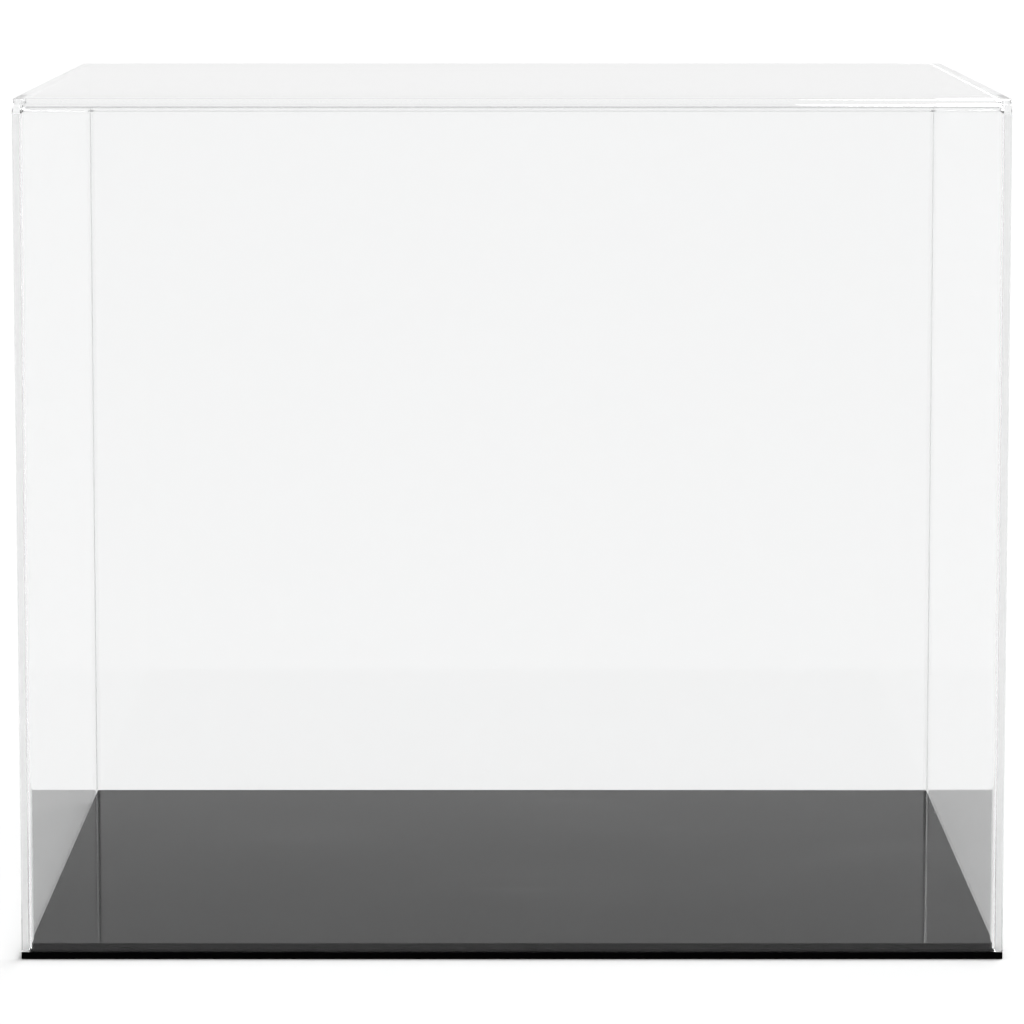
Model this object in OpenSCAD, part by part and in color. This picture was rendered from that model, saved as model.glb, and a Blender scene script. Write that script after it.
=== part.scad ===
// Free-standing display case: a clear five-sided cover that lifts off a black base.
// X is the width, Y the depth with the front at -Y, and Z is up from the underside.

/* [Case] */
// Overall width
case_w = 400; // [200:10:600]
// Overall depth, front to rear
case_d = 360; // [200:10:600]
// Overall height, from the underside of the base to the top of the cover
case_h = 350; // [150:10:500]

/* [Clear sheet] */
// Thickness of the clear sheet that the cover is made of
sheet_t = 3; // [2:0.5:5]
// Inside radius of the heat bends along the front and rear top edges
bend_r = 3; // [2.5:0.5:8]
// Leg of the cement fillet inside the side seams
seam_leg = 2; // [0.5:0.1:2.4]

/* [Base] */
// Thickness of the full-size bottom plate
plate_t = 3; // [2:0.5:6]
// Thickness of the riser that keeps the cover in place
riser_t = 3; // [2:0.5:6]
// Corner radius of the riser, seen from above
riser_corner_r = 2; // [2:0.5:6]
// Clearance between the riser and the inside of the cover
riser_gap = 0.4; // [0.2:0.1:1]
// Thickness of the adhesive film that bonds the riser to the bottom plate
film_t = 0.1; // [0.05:0.05:0.3]
// Distance that the film stays back from the edge of the riser
film_margin = 5; // [3:1:20]

/* [Hidden] */
$fn = 96;

// The cover's outside stands on the bottom plate, and its inside is one sheet smaller.
cover_h = case_h - plate_t;
inner_w = case_w - 2 * sheet_t;
inner_d = case_d - 2 * sheet_t;
inner_h = cover_h - sheet_t;

// The riser fills the inside of the cover, less the clearance on every side.
riser_w = inner_w - 2 * riser_gap;
riser_d = inner_d - 2 * riser_gap;
riser_z = plate_t + film_t;

// The seam fillets stop short of the ledge that the cover stands on.
seam_foot = 1;

black = [0.03, 0.03, 0.035];
clear = [0.86, 0.93, 0.96, 0.35];
cement = [0.75, 0.85, 0.9, 0.6];
film = [0.2, 0.2, 0.22];

// A rectangle standing on y = 0 whose two upper corners are round.
// reach carries it below y = 0, so that it cuts cleanly through an open bottom.
module arch(w, h, r, reach = 0) {
    translate([-w / 2, -reach])
        square([w, h - r + reach]);
    translate([-w / 2 + r, 0])
        square([w - 2 * r, h]);
    for (side = [-1, 1])
        translate([side * (w / 2 - r), h - r])
            circle(r = r);
}

// A rectangle centred on the origin whose four corners are round.
module rounded_rectangle(w, d, r) {
    square([w - 2 * r, d], center = true);
    square([w, d - 2 * r], center = true);
    for (x = [-1, 1], y = [-1, 1])
        translate([x * (w / 2 - r), y * (d / 2 - r)])
            circle(r = r);
}

// Stands an outline drawn in width and height across the case, from x0 for a length.
module across(x0, length) {
    translate([x0, 0, plate_t])
        rotate([90, 0, 90])
            linear_extrude(length)
                children();
}

// Section of a cement fillet in the corner at the origin, with its legs along +x and +y.
module fillet_section(leg) {
    difference() {
        square(leg);
        translate([leg, leg])
            circle(r = leg);
    }
}

// Fillet that follows a side panel's inner face up the front, over the top and down
// the rear. The panel's inner face is the plane x = 0, and the fillet lies at +x.
module seam_fillet() {
    upright = inner_h - bend_r - seam_foot;
    for (side = [0, 1])
        mirror([0, side, 0])
            translate([0, -inner_d / 2, plate_t]) {
                translate([0, 0, seam_foot])
                    linear_extrude(upright)
                        fillet_section(seam_leg);
                translate([0, bend_r, inner_h - bend_r])
                    rotate([0, 90, 0])
                        rotate([0, 0, 180])
                            rotate_extrude(angle = 90)
                                translate([bend_r, 0])
                                    mirror([1, 0])
                                        fillet_section(seam_leg);
            }
    translate([0, inner_d / 2 - bend_r, plate_t + inner_h])
        rotate([90, 0, 0])
            linear_extrude(inner_d - 2 * bend_r)
                mirror([0, 1])
                    fillet_section(seam_leg);
}

// Bottom plate. Its rim is the ledge that the cover stands on.
module base_plate() {
    color(black)
        translate([-case_w / 2, -case_d / 2, 0])
            cube([case_w, case_d, plate_t]);
}

// Thin film between the bottom plate and the riser.
module riser_adhesive() {
    color(film)
        translate([0, 0, plate_t])
            linear_extrude(film_t)
                rounded_rectangle(
                    riser_w - 2 * film_margin, riser_d - 2 * film_margin, riser_corner_r
                );
}

// Riser. Exhibits stand on it, and the cover drops over it.
module riser_plate() {
    color(black)
        translate([0, 0, riser_z])
            linear_extrude(riser_t)
                rounded_rectangle(riser_w, riser_d, riser_corner_r);
}

// One sheet bent twice into the front, the top and the rear of the cover.
module cover_wrap() {
    color(clear)
        across(-case_w / 2, case_w)
            difference() {
                arch(case_d, cover_h, bend_r + sheet_t);
                arch(inner_d, inner_h, bend_r, sheet_t);
            }
}

// Flat sheet that closes one end of the wrap, flush with the wrap's edges.
module side_panel(x0) {
    color(clear)
        across(x0, sheet_t)
            arch(inner_d, inner_h, bend_r);
}

module left_side_panel() {
    side_panel(-case_w / 2);
}

module right_side_panel() {
    side_panel(case_w / 2 - sheet_t);
}

module left_seam_cement() {
    color(cement)
        translate([-inner_w / 2, 0, 0])
            seam_fillet();
}

module right_seam_cement() {
    color(cement)
        mirror([1, 0, 0])
            translate([-inner_w / 2, 0, 0])
                seam_fillet();
}

base_plate();
riser_adhesive();
riser_plate();
cover_wrap();
left_side_panel();
right_side_panel();
left_seam_cement();
right_seam_cement();
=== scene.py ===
"""Looks of the acrylic display case: a clear cover standing on a glossy black base.

Every visible sheet is rebuilt from its CAD box with polished arrises and finely stepped bends,
and gets its own procedural acrylic. All lengths are in metres, in the CAD model's frame.
"""

import math

import bmesh
import bpy
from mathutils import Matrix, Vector


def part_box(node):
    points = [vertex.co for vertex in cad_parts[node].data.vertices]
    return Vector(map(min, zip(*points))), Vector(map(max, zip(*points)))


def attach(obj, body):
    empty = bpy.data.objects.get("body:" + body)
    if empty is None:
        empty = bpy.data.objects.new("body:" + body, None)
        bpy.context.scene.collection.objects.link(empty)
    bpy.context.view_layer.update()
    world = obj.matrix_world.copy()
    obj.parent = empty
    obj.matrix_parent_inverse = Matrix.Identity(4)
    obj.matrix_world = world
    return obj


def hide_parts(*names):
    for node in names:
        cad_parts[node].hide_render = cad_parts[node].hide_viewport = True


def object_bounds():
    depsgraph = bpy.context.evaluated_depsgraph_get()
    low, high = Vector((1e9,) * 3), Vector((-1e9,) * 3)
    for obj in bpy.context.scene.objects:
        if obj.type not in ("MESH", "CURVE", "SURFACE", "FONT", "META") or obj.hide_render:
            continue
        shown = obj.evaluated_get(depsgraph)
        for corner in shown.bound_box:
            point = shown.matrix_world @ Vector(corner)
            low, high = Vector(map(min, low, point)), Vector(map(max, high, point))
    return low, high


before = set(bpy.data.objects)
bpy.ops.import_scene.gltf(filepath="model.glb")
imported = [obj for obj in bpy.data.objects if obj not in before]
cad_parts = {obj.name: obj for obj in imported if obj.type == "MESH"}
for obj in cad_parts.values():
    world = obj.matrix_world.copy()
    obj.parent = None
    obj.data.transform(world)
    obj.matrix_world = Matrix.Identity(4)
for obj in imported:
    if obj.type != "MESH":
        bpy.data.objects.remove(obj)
cad_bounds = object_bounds()

# Sheet work
BEND_RADIUS = 0.003  # inside radius of the heat bends over the front and rear top edges
BEND_STEPS = 24  # faces round a quarter turn of a bend
ARRIS = 0.00025  # width of the polished chamfer along every cut edge
WELD = 0.00002  # how far two cemented sheets are fused into each other
REST_GAP = 0.00002  # hairline of air under the cover, where it stands on the ledge
RISER_CORNER = 0.002  # plan radius of the riser's corners
CORNER_STEPS = 10  # faces round a corner of the riser, and round the hollow of a cement bead
SHARP_ANGLE = math.radians(30)  # edges that turn more than this shade as sharp
MERGE = 1e-7  # corners of a mesh closer than this are one corner
FIRST, LAST = -2, -1  # the band numbers of a loft's two ends

# Acrylic
ACRYLIC_IOR = 1.49
CLEAR_TINT = (0.931, 0.933, 0.934, 1.0)
PANEL_TINT = (0.950, 0.952, 0.953, 1.0)
LOW_GLARE = (0.5, 0.5, 0.5, 1.0)  # share of the mirroring at right angles that a sheet keeps
SHADOW_TINT = (0.985, 0.986, 0.986, 1.0)
CEMENT_THIN, CEMENT_THICK = (0.99, 0.99, 0.99, 1.0), (0.95, 0.95, 0.95, 1.0)
RIM_CLARITY = 0.3  # share of light that a matt sawn rim lets through
INNER_REFLECTIONS = 2  # after more than these, light leaves the sheet and isn't lost in it
TRAPPED_FROM = 0.99  # the reflected share above which light is trapped in the sheet
FACE_ROUGHNESS = 0.05  # of a clear face where a hairline crosses it
BLACK = (0.0012, 0.0012, 0.0013, 1.0)
FACE, CUT = 0, 1  # material slots: polished faces, and polished cut edges
RIM, OUTSIDE = 2, 3  # two more on a side panel: matt sawn edges, and the outer face

# Grain and wear. A scale is in features per metre, a turn in degrees about X, Y and Z.
HAIRLINE_TURNS = ((12, 34, 51), (70, -28, 8))
HAIRLINE_SCALES = (5, 700, 700)  # along a hairline, and twice across it
HAIRLINES_FROM, HAIRLINES_FULL = 0.70, 0.76  # levels of the noise where a hairline starts
HANDLED_SCALE = 9.0  # of the patches that hairlines lie in
SAW_SCALES = (900, 900, 60)  # across the striations of a cut edge, and along them
CLEAR_CUT_DEPTH, BLACK_CUT_DEPTH = 0.000006, 0.00002  # of those striations
GRAIN_LOW, GRAIN_HIGH = 0.3, 0.7  # levels that noise stays between, almost everywhere
DUST_SCALE = 1400.0
DUST_SHARE = 0.04  # how much of the pale dust colour a speck shows
DUST_COLOUR = (0.5, 0.5, 0.5, 1.0)
FILM_THICK, FILM_THIN = (0.03, 0.03, 0.032, 1.0), (0.09, 0.09, 0.095, 1.0)
FLOOR_MOTTLE = 0.995  # the darkest part of the floor, as a share of its colour

# Camera
CAMERA_PLACE = Vector((0.0, -2.285, 0.449))
CAMERA_PITCH = math.radians(7.18)  # below the horizontal
CAMERA_LENS = 184.9  # millimetres, on a sensor 36 wide

# Studio
FLOOR_HALF = 60.0
FLOOR_COLOUR = (0.69, 0.69, 0.69, 1.0)
HORIZON_LIGHT, WALL_LIGHT, CEILING_LIGHT = 0.91, 0.23, 0.94
HORIZON_ENDS, WALL_STARTS = 0.06, 0.215  # heights of the sky, as sines of elevation
WALL_ENDS, CEILING_STARTS = 0.25, 0.31
SWEEP_ENDS, SIDES_START, SIDE_SHARE = 0.11, 0.30, 0.10  # the backdrop's sideways fall-off
KEY_STRENGTH = 3.4
KEY_SOFTNESS = math.radians(50)
KEY_FROM = Vector((0.47, 0.645, 0.6))


# ---- Mesh building ----------------------------------------------------------------------

def outline(low, high, foot_radius, top_radius, inset, steps):
    """Points round a rectangle with round corners, anticlockwise from its lower left corner."""
    points = []
    corners = (
        (low[0], low[1], foot_radius, 180),
        (high[0], low[1], foot_radius, 270),
        (high[0], high[1], top_radius, 0),
        (low[0], high[1], top_radius, 90),
    )
    for x, y, radius, start in corners:
        to_x = 1 if x == low[0] else -1
        to_y = 1 if y == low[1] else -1
        centre_x, centre_y = x + to_x * radius, y + to_y * radius
        for i in range(steps + 1):
            turn = math.radians(start + 90 * i / steps)
            reach = radius - inset
            points.append((centre_x + reach * math.cos(turn), centre_y + reach * math.sin(turn)))
    return points


def loft(name, loops, slot_of):
    """A closed mesh through loops of equal length, with flat ends.

    slot_of(band, side) is the material slot of a face, from the band of faces that it is in
    and its place round that band. The two ends are bands FIRST and LAST.
    """
    mesh = bmesh.new()
    rings = [[mesh.verts.new(p) for p in loop] for loop in loops]
    count = len(loops[0])
    for band, (near, far) in enumerate(zip(rings, rings[1:])):
        for side in range(count):
            after = (side + 1) % count
            face = mesh.faces.new((near[side], near[after], far[after], far[side]))
            face.material_index = slot_of(band, side)
    for ring, end in ((rings[0], FIRST), (rings[-1], LAST)):
        mesh.faces.new(ring).material_index = slot_of(end, 0)
    bmesh.ops.remove_doubles(mesh, verts=mesh.verts, dist=MERGE)
    bmesh.ops.recalc_face_normals(mesh, faces=mesh.faces)
    data = bpy.data.meshes.new(name)
    mesh.to_mesh(data)
    mesh.free()
    data.polygons.foreach_set("use_smooth", [True] * len(data.polygons))
    data.set_sharp_from_angle(angle=SHARP_ANGLE)
    piece = bpy.data.objects.new(name, data)
    bpy.context.scene.collection.objects.link(piece)
    return piece


def face_or_cut(band, side):
    """The slot in a slab: its two ends are its faces, and its rim is cut."""
    return FACE if band in (FIRST, LAST) else CUT


def slab(name, levels, make_loop, slot_of=face_or_cut):
    """A flat sheet between two levels, its rim cut square and arrised on both faces."""
    low, high = levels
    stations = ((low, ARRIS), (low + ARRIS, 0), (high - ARRIS, 0), (high, ARRIS))
    loops = [make_loop(level, inset) for level, inset in stations]
    return loft(name, loops, slot_of)


def plate(name, node, corner, steps):
    """A horizontal plate in a CAD node's box, with round corners seen from above."""
    low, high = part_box(node)
    def loop(z, inset):
        return [(x, y, z) for x, y in outline(low, high, corner, corner, inset, steps)]
    return slab(name, (low.z, high.z), loop)


def cover_path(foot_z):
    """The inside of the cover in a section across X: (y, z, outward normal y, z) up the front,
    over both bends and down the rear."""
    half, top = inner_half_depth, inner_top
    bend_y, bend_z = half - BEND_RADIUS, top - BEND_RADIUS
    path = [(-half, foot_z, -1.0, 0.0)]
    for side, start in ((-1, 180), (1, 90)):
        for i in range(BEND_STEPS + 1):
            turn = math.radians(start - 90 * i / BEND_STEPS)
            out_y, out_z = math.cos(turn), math.sin(turn)
            path.append((side * bend_y + BEND_RADIUS * out_y, bend_z + BEND_RADIUS * out_z,
                         out_y, out_z))
    path.append((half, foot_z, 1.0, 0.0))
    return path


def swept(section, station):
    """A section of (x, distance outward) points, carried to a station of the path."""
    y, z, out_y, out_z = station
    return [(x, y + out_y * t, z + out_z * t) for x, t in section]


def wrap_sheet():
    """The bent sheet that makes the front, the top and the rear of the cover."""
    low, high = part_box("cover_wrap")
    foot = low.z + REST_GAP
    path = cover_path(foot)
    loops = [swept(outline((low.x, 0.0), (high.x, sheet), ARRIS, ARRIS, 0, 1), station)
             for station in path]
    wide_sides = (1, 5)  # the sides of the section that are the sheet's inner and outer face
    def slot_of(band, side):
        return FACE if band in (FIRST, LAST) or side in wide_sides else CUT
    return loft("cover_wrap_sheet", loops, slot_of)


def side_sheet(name, node, outer_end):
    """A flat panel that closes one end of the cover, cemented inside the bent sheet."""
    low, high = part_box(node)
    def loop(x, inset):
        points = outline(
            (low.y - WELD, low.z + REST_GAP), (high.y + WELD, high.z + WELD),
            ARRIS, BEND_RADIUS + WELD, inset, BEND_STEPS,
        )
        return [(x, y, z) for y, z in points]
    upright_sides = (2 * BEND_STEPS + 1, 4 * BEND_STEPS + 3)
    def slot_of(band, side):
        if band == outer_end:
            return OUTSIDE
        if band not in (FIRST, LAST) and side in upright_sides:
            return RIM
        return face_or_cut(band, side)
    return slab(name, (low.x, high.x), loop, slot_of)


def seam_bead(name, node, inward):
    """The cement fillet between a side panel and the bent sheet. inward is +1 towards +X."""
    low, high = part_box(node)
    leg = high.x - low.x
    wall_x = low.x if inward > 0 else high.x
    curve = [(leg - leg * math.sin(a), leg - leg * math.cos(a))
             for a in (math.pi / 2 * i / CORNER_STEPS for i in range(CORNER_STEPS + 1))]
    profile = [(-WELD, -WELD), (leg, -WELD)] + curve + [(-WELD, leg)]
    section = [(wall_x + inward * x, -t) for x, t in profile]
    loops = [swept(section, station) for station in cover_path(low.z)]
    return loft(name, loops, lambda band, side: FACE)


# ---- Materials --------------------------------------------------------------------------

class Nodes:
    """A short way to build a node tree: add(kind, inputs, settings) returns the node."""

    def __init__(self, tree):
        self.tree = tree
        tree.nodes.clear()

    def add(self, kind, inputs=None, **settings):
        node = self.tree.nodes.new(kind)
        for key, value in settings.items():
            setattr(node, key, value)
        for key, value in (inputs or {}).items():
            if isinstance(value, bpy.types.NodeSocket):
                self.tree.links.new(value, node.inputs[key])
            else:
                node.inputs[key].default_value = value
        return node

    def math(self, operation, a, b=0.0, clamp=False):
        return self.add("ShaderNodeMath", {0: a, 1: b}, operation=operation,
                        use_clamp=clamp).outputs[0]

    def ramp(self, value, start, end, low=0.0, high=1.0):
        node = self.add("ShaderNodeMapRange", {
            "Value": value, "From Min": start, "From Max": end, "To Min": low, "To Max": high,
        }, interpolation_type="SMOOTHSTEP")
        return node.outputs["Result"]

    def noise(self, vector, scale, detail=2.0, roughness=0.5):
        return self.add("ShaderNodeTexNoise", {
            "Vector": vector, "Scale": scale, "Detail": detail, "Roughness": roughness,
        }).outputs["Fac"]

    def stretched(self, vector, turn, scale):
        return self.add("ShaderNodeMapping", {
            "Vector": vector, "Rotation": tuple(math.radians(t) for t in turn), "Scale": scale,
        }).outputs["Vector"]


def scratches(n, place):
    """Sparse hairlines in two directions, 0 to 1."""
    total = 0.0
    for turn in HAIRLINE_TURNS:
        lines = n.noise(n.stretched(place, turn, HAIRLINE_SCALES), 1.0, detail=0.0)
        line = n.ramp(lines, HAIRLINES_FROM, HAIRLINES_FULL)
        total = n.math("ADD", line, total, clamp=True)
    patches = n.ramp(n.noise(place, HANDLED_SCALE, detail=0.0), 0.45, 0.65)
    return n.math("MULTIPLY", total, patches)


def saw_marks(n, place, depth):
    """A normal with the fine striations that cutting and polishing leave across an edge."""
    lines = n.noise(n.stretched(place, (0, 0, 0), SAW_SCALES), 1.0, detail=2.0)
    return n.add("ShaderNodeBump", {"Height": lines, "Distance": depth}).outputs["Normal"]


def new_material(name):
    material = bpy.data.materials.new(name)
    material.use_nodes = True
    return material, Nodes(material.node_tree)


def clear_surface(n, inputs, mirrors=True):
    """Clear acrylic with these inputs. Lamps and diffuse light pass straight through it.

    A surface that doesn't mirror still holds in the light that is trapped inside the sheet.
    """
    surface = n.add("ShaderNodeBsdfPrincipled", {
        "Base Color": CLEAR_TINT, "Transmission Weight": 1.0, "IOR": ACRYLIC_IOR,
        "Specular Tint": LOW_GLARE, **inputs,
    }).outputs["BSDF"]
    straight = n.add("ShaderNodeBsdfTransparent", {"Color": SHADOW_TINT}).outputs["BSDF"]
    bent = n.add("ShaderNodeBsdfRefraction", {
        "Color": SHADOW_TINT, "Roughness": 0.0, "IOR": ACRYLIC_IOR,
    }).outputs["BSDF"]
    path = n.add("ShaderNodeLightPath").outputs
    lighting = n.math("MAXIMUM", path["Is Shadow Ray"], path["Is Diffuse Ray"])
    spent = n.math("GREATER_THAN", path["Glossy Depth"], INNER_REFLECTIONS)
    trapped = n.math("GREATER_THAN", n.add("ShaderNodeFresnel", {"IOR": ACRYLIC_IOR}).outputs[0],
                     TRAPPED_FROM)
    if not mirrors:
        surface = n.add("ShaderNodeMixShader", {0: trapped, 1: bent, 2: surface}).outputs[0]
    leaving = n.add("ShaderNodeMixShader", {0: trapped, 1: bent, 2: straight}).outputs[0]
    seen = n.add("ShaderNodeMixShader", {0: spent, 1: surface, 2: leaving}).outputs[0]
    mixed = n.add("ShaderNodeMixShader", {0: lighting, 1: seen, 2: straight}).outputs[0]
    n.add("ShaderNodeOutputMaterial", {"Surface": mixed})


def clear_face(name, tint, mirrors=True):
    """Polished face of a clear sheet, with sparse hairlines."""
    material, n = new_material(name)
    place = n.add("ShaderNodeTexCoord").outputs["Object"]
    clear_surface(n, {
        "Base Color": tint, "Roughness": n.math("MULTIPLY", scratches(n, place), FACE_ROUGHNESS),
    }, mirrors)
    return material


def clear_cut(name):
    """Polished cut edge of a clear sheet, with fine striations across it."""
    material, n = new_material(name)
    place = n.add("ShaderNodeTexCoord").outputs["Object"]
    wear = n.noise(place, 120.0)
    clear_surface(n, {
        "Roughness": n.ramp(wear, 0.4, 0.7, 0.01, 0.04),
        "Normal": saw_marks(n, place, CLEAR_CUT_DEPTH),
    })
    return material


def clear_cement(name):
    """Cured solvent cement, a little cloudy where it lies thick against the side panel."""
    material, n = new_material(name)
    place = n.add("ShaderNodeTexCoord").outputs["Object"]
    run = n.noise(n.stretched(place, (0, 0, 0), (1.0, 1.0, 0.12)), 300.0)
    across = n.math("ABSOLUTE", n.add("ShaderNodeSeparateXYZ", {0: place}).outputs["X"])
    cloud = n.ramp(across, inner_half_width - seam_leg, inner_half_width)
    tint = n.add("ShaderNodeMix", {
        "Factor": cloud, 6: CEMENT_THIN, 7: CEMENT_THICK,
    }, data_type="RGBA").outputs[2]
    clear_surface(n, {"Base Color": tint, "Roughness": n.ramp(run, 0.35, 0.7, 0.02, 0.08)})
    return material


def clear_rim(name):
    """Sawn rim of a side panel, left matt: it scatters light where the cement wets it."""
    material, n = new_material(name)
    place = n.add("ShaderNodeTexCoord").outputs["Object"]
    grain = n.noise(place, 900.0, detail=3.0)
    value = n.ramp(grain, GRAIN_LOW, GRAIN_HIGH, 0.96, 0.99)
    surface = n.add("ShaderNodeBsdfPrincipled", {
        "Base Color": n.add("ShaderNodeCombineColor", {0: value, 1: value, 2: value}).outputs[0],
        "Transmission Weight": RIM_CLARITY, "IOR": ACRYLIC_IOR, "Specular IOR Level": 0.0,
        "Roughness": n.ramp(grain, GRAIN_LOW, GRAIN_HIGH, 0.45, 0.6),
    }).outputs["BSDF"]
    n.add("ShaderNodeOutputMaterial", {"Surface": surface})
    return material


def black_face(name):
    """Glossy face of a black sheet, with faint dust, smudges and hairlines."""
    material, n = new_material(name)
    place = n.add("ShaderNodeTexCoord").outputs["Object"]
    smudges = n.noise(place, 14.0, detail=4.0, roughness=0.6)
    dust = n.ramp(n.noise(place, DUST_SCALE, detail=1.0), 0.74, 0.80)
    roughness = n.math("ADD", n.ramp(smudges, GRAIN_LOW, GRAIN_HIGH, 0.04, 0.07),
                       n.math("MULTIPLY", scratches(n, place), 0.12))
    colour = n.add("ShaderNodeMix", {
        "Factor": n.math("MULTIPLY", dust, DUST_SHARE), 6: BLACK, 7: DUST_COLOUR,
    }, data_type="RGBA").outputs[2]
    surface = n.add("ShaderNodeBsdfPrincipled", {
        "Base Color": colour, "IOR": ACRYLIC_IOR, "Roughness": roughness,
    }).outputs["BSDF"]
    n.add("ShaderNodeOutputMaterial", {"Surface": surface})
    return material


def black_cut(name):
    """Sawn and lightly polished edge of a black sheet, deeper black than its faces."""
    material, n = new_material(name)
    place = n.add("ShaderNodeTexCoord").outputs["Object"]
    wear = n.noise(place, 180.0, detail=3.0)
    surface = n.add("ShaderNodeBsdfPrincipled", {
        "Base Color": BLACK, "IOR": ACRYLIC_IOR, "Specular IOR Level": 0.01,
        "Roughness": n.ramp(wear, GRAIN_LOW, GRAIN_HIGH, 0.22, 0.38),
        "Normal": saw_marks(n, place, BLACK_CUT_DEPTH),
    }).outputs["BSDF"]
    n.add("ShaderNodeOutputMaterial", {"Surface": surface})
    return material


def adhesive(name):
    """Cured film under the riser, mottled where it has spread."""
    material, n = new_material(name)
    place = n.add("ShaderNodeTexCoord").outputs["Object"]
    spread = n.noise(place, 60.0, detail=3.0)
    colour = n.add("ShaderNodeMix", {
        "Factor": spread, 6: FILM_THICK, 7: FILM_THIN,
    }, data_type="RGBA").outputs[2]
    surface = n.add("ShaderNodeBsdfPrincipled", {
        "Base Color": colour, "Roughness": n.ramp(spread, GRAIN_LOW, GRAIN_HIGH, 0.45, 0.7),
    }).outputs["BSDF"]
    n.add("ShaderNodeOutputMaterial", {"Surface": surface})
    return material


def floor_paint(name):
    """Matt pale studio floor."""
    material, n = new_material(name)
    place = n.add("ShaderNodeTexCoord").outputs["Object"]
    mottle = n.noise(place, 3.0, detail=5.0)
    colour = n.add("ShaderNodeMix", {
        "Factor": mottle, 6: tuple(FLOOR_MOTTLE * c for c in FLOOR_COLOUR[:3]) + (1.0,),
        7: FLOOR_COLOUR,
    }, data_type="RGBA").outputs[2]
    surface = n.add("ShaderNodeBsdfDiffuse", {"Color": colour}).outputs[0]
    n.add("ShaderNodeOutputMaterial", {"Surface": surface})
    return material


# ---- Studio -----------------------------------------------------------------------------

def lay_floor():
    mesh = bmesh.new()
    bmesh.ops.create_grid(mesh, x_segments=1, y_segments=1, size=FLOOR_HALF)
    data = bpy.data.meshes.new("floor")
    mesh.to_mesh(data)
    mesh.free()
    floor = bpy.data.objects.new("floor", data)
    bpy.context.scene.collection.objects.link(floor)
    floor.location.z = cad_bounds[0][2] - REST_GAP
    data.materials.append(floor_paint("floor_paint"))


def light_world():
    """A white sweep that ends in a dim wall and dim sides, under a broad pale ceiling."""
    world = bpy.data.worlds.new("studio")
    bpy.context.scene.world = world
    world.use_nodes = True
    n = Nodes(world.node_tree)
    way = n.add("ShaderNodeTexCoord").outputs["Generated"]
    split = n.add("ShaderNodeSeparateXYZ", {0: way}).outputs
    height = split["Z"]
    sideways = n.math("ABSOLUTE", split["X"])
    wall = n.ramp(height, HORIZON_ENDS, WALL_STARTS, HORIZON_LIGHT, WALL_LIGHT)
    sides = n.ramp(sideways, SWEEP_ENDS, SIDES_START, 1.0, SIDE_SHARE)
    backdrop = n.math("MULTIPLY", wall, sides)
    ceiling = n.ramp(height, WALL_ENDS, CEILING_STARTS, 0.0, CEILING_LIGHT)
    level = n.math("MAXIMUM", backdrop, ceiling)
    sky = n.add("ShaderNodeBackground", {"Color": (1.0, 1.0, 1.0, 1.0), "Strength": level})
    n.add("ShaderNodeOutputWorld", {"Surface": sky.outputs[0]})


def light_key():
    """One very soft lamp, high behind the case on the right."""
    lamp = bpy.data.lights.new("key", "SUN")
    lamp.energy = KEY_STRENGTH
    lamp.angle = KEY_SOFTNESS
    key = bpy.data.objects.new("key", lamp)
    key.rotation_euler = (-KEY_FROM).to_track_quat("-Z", "Y").to_euler()
    bpy.context.scene.collection.objects.link(key)


def place_camera():
    data = bpy.data.cameras.new("camera")
    data.lens = CAMERA_LENS
    data.sensor_width = 36.0
    data.clip_end = 4 * FLOOR_HALF
    camera = bpy.data.objects.new("camera", data)
    camera.location = CAMERA_PLACE
    camera.rotation_euler = (math.pi / 2 - CAMERA_PITCH, 0.0, 0.0)
    bpy.context.scene.collection.objects.link(camera)
    bpy.context.scene.camera = camera


# ---- The case ---------------------------------------------------------------------------

panel_low, panel_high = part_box("left_side_panel")
sheet = panel_high.x - panel_low.x
inner_half_width = -panel_high.x
inner_half_depth = panel_high.y
inner_top = panel_high.z
bead_low, bead_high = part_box("left_seam_cement")
seam_leg = bead_high.x - bead_low.x

place_camera()
bpy.context.scene.view_settings.view_transform = "Standard"

black = (black_face("black_acrylic_face"), black_cut("black_acrylic_cut"))
clear = (clear_face("bent_acrylic_face", CLEAR_TINT), clear_cut("clear_acrylic_cut"))
panel = (clear_face("flat_acrylic_face", PANEL_TINT), clear[CUT], clear_rim("matt_acrylic_rim"),
         clear_face("outer_acrylic_face", PANEL_TINT, mirrors=False))
cement = (clear_cement("seam_cement"),)

pieces = (
    (plate("base_plate_sheet", "base_plate", ARRIS, 1),
     "base", "base_plate", "black_acrylic", black),
    (plate("riser_sheet", "riser_plate", RISER_CORNER, CORNER_STEPS),
     "base", "riser_plate", "black_acrylic", black),
    (wrap_sheet(), "cover", "cover_wrap", "clear_acrylic", clear),
    (side_sheet("left_side_sheet", "left_side_panel", FIRST),
     "cover", "left_side_panel", "clear_acrylic", panel),
    (side_sheet("right_side_sheet", "right_side_panel", LAST),
     "cover", "right_side_panel", "clear_acrylic", panel),
    (seam_bead("left_seam_bead", "left_seam_cement", 1),
     "cover", "left_seam_cement", "seam_cement", cement),
    (seam_bead("right_seam_bead", "right_seam_cement", -1),
     "cover", "right_seam_cement", "seam_cement", cement),
)
for piece, body, node, slot, materials in pieces:
    for material in materials:
        piece.data.materials.append(material)
    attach(piece, body)
    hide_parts(node)

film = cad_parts["riser_adhesive"]
film.data.materials.clear()
film.data.materials.append(adhesive("bond_film"))

lay_floor()
light_world()
light_key()
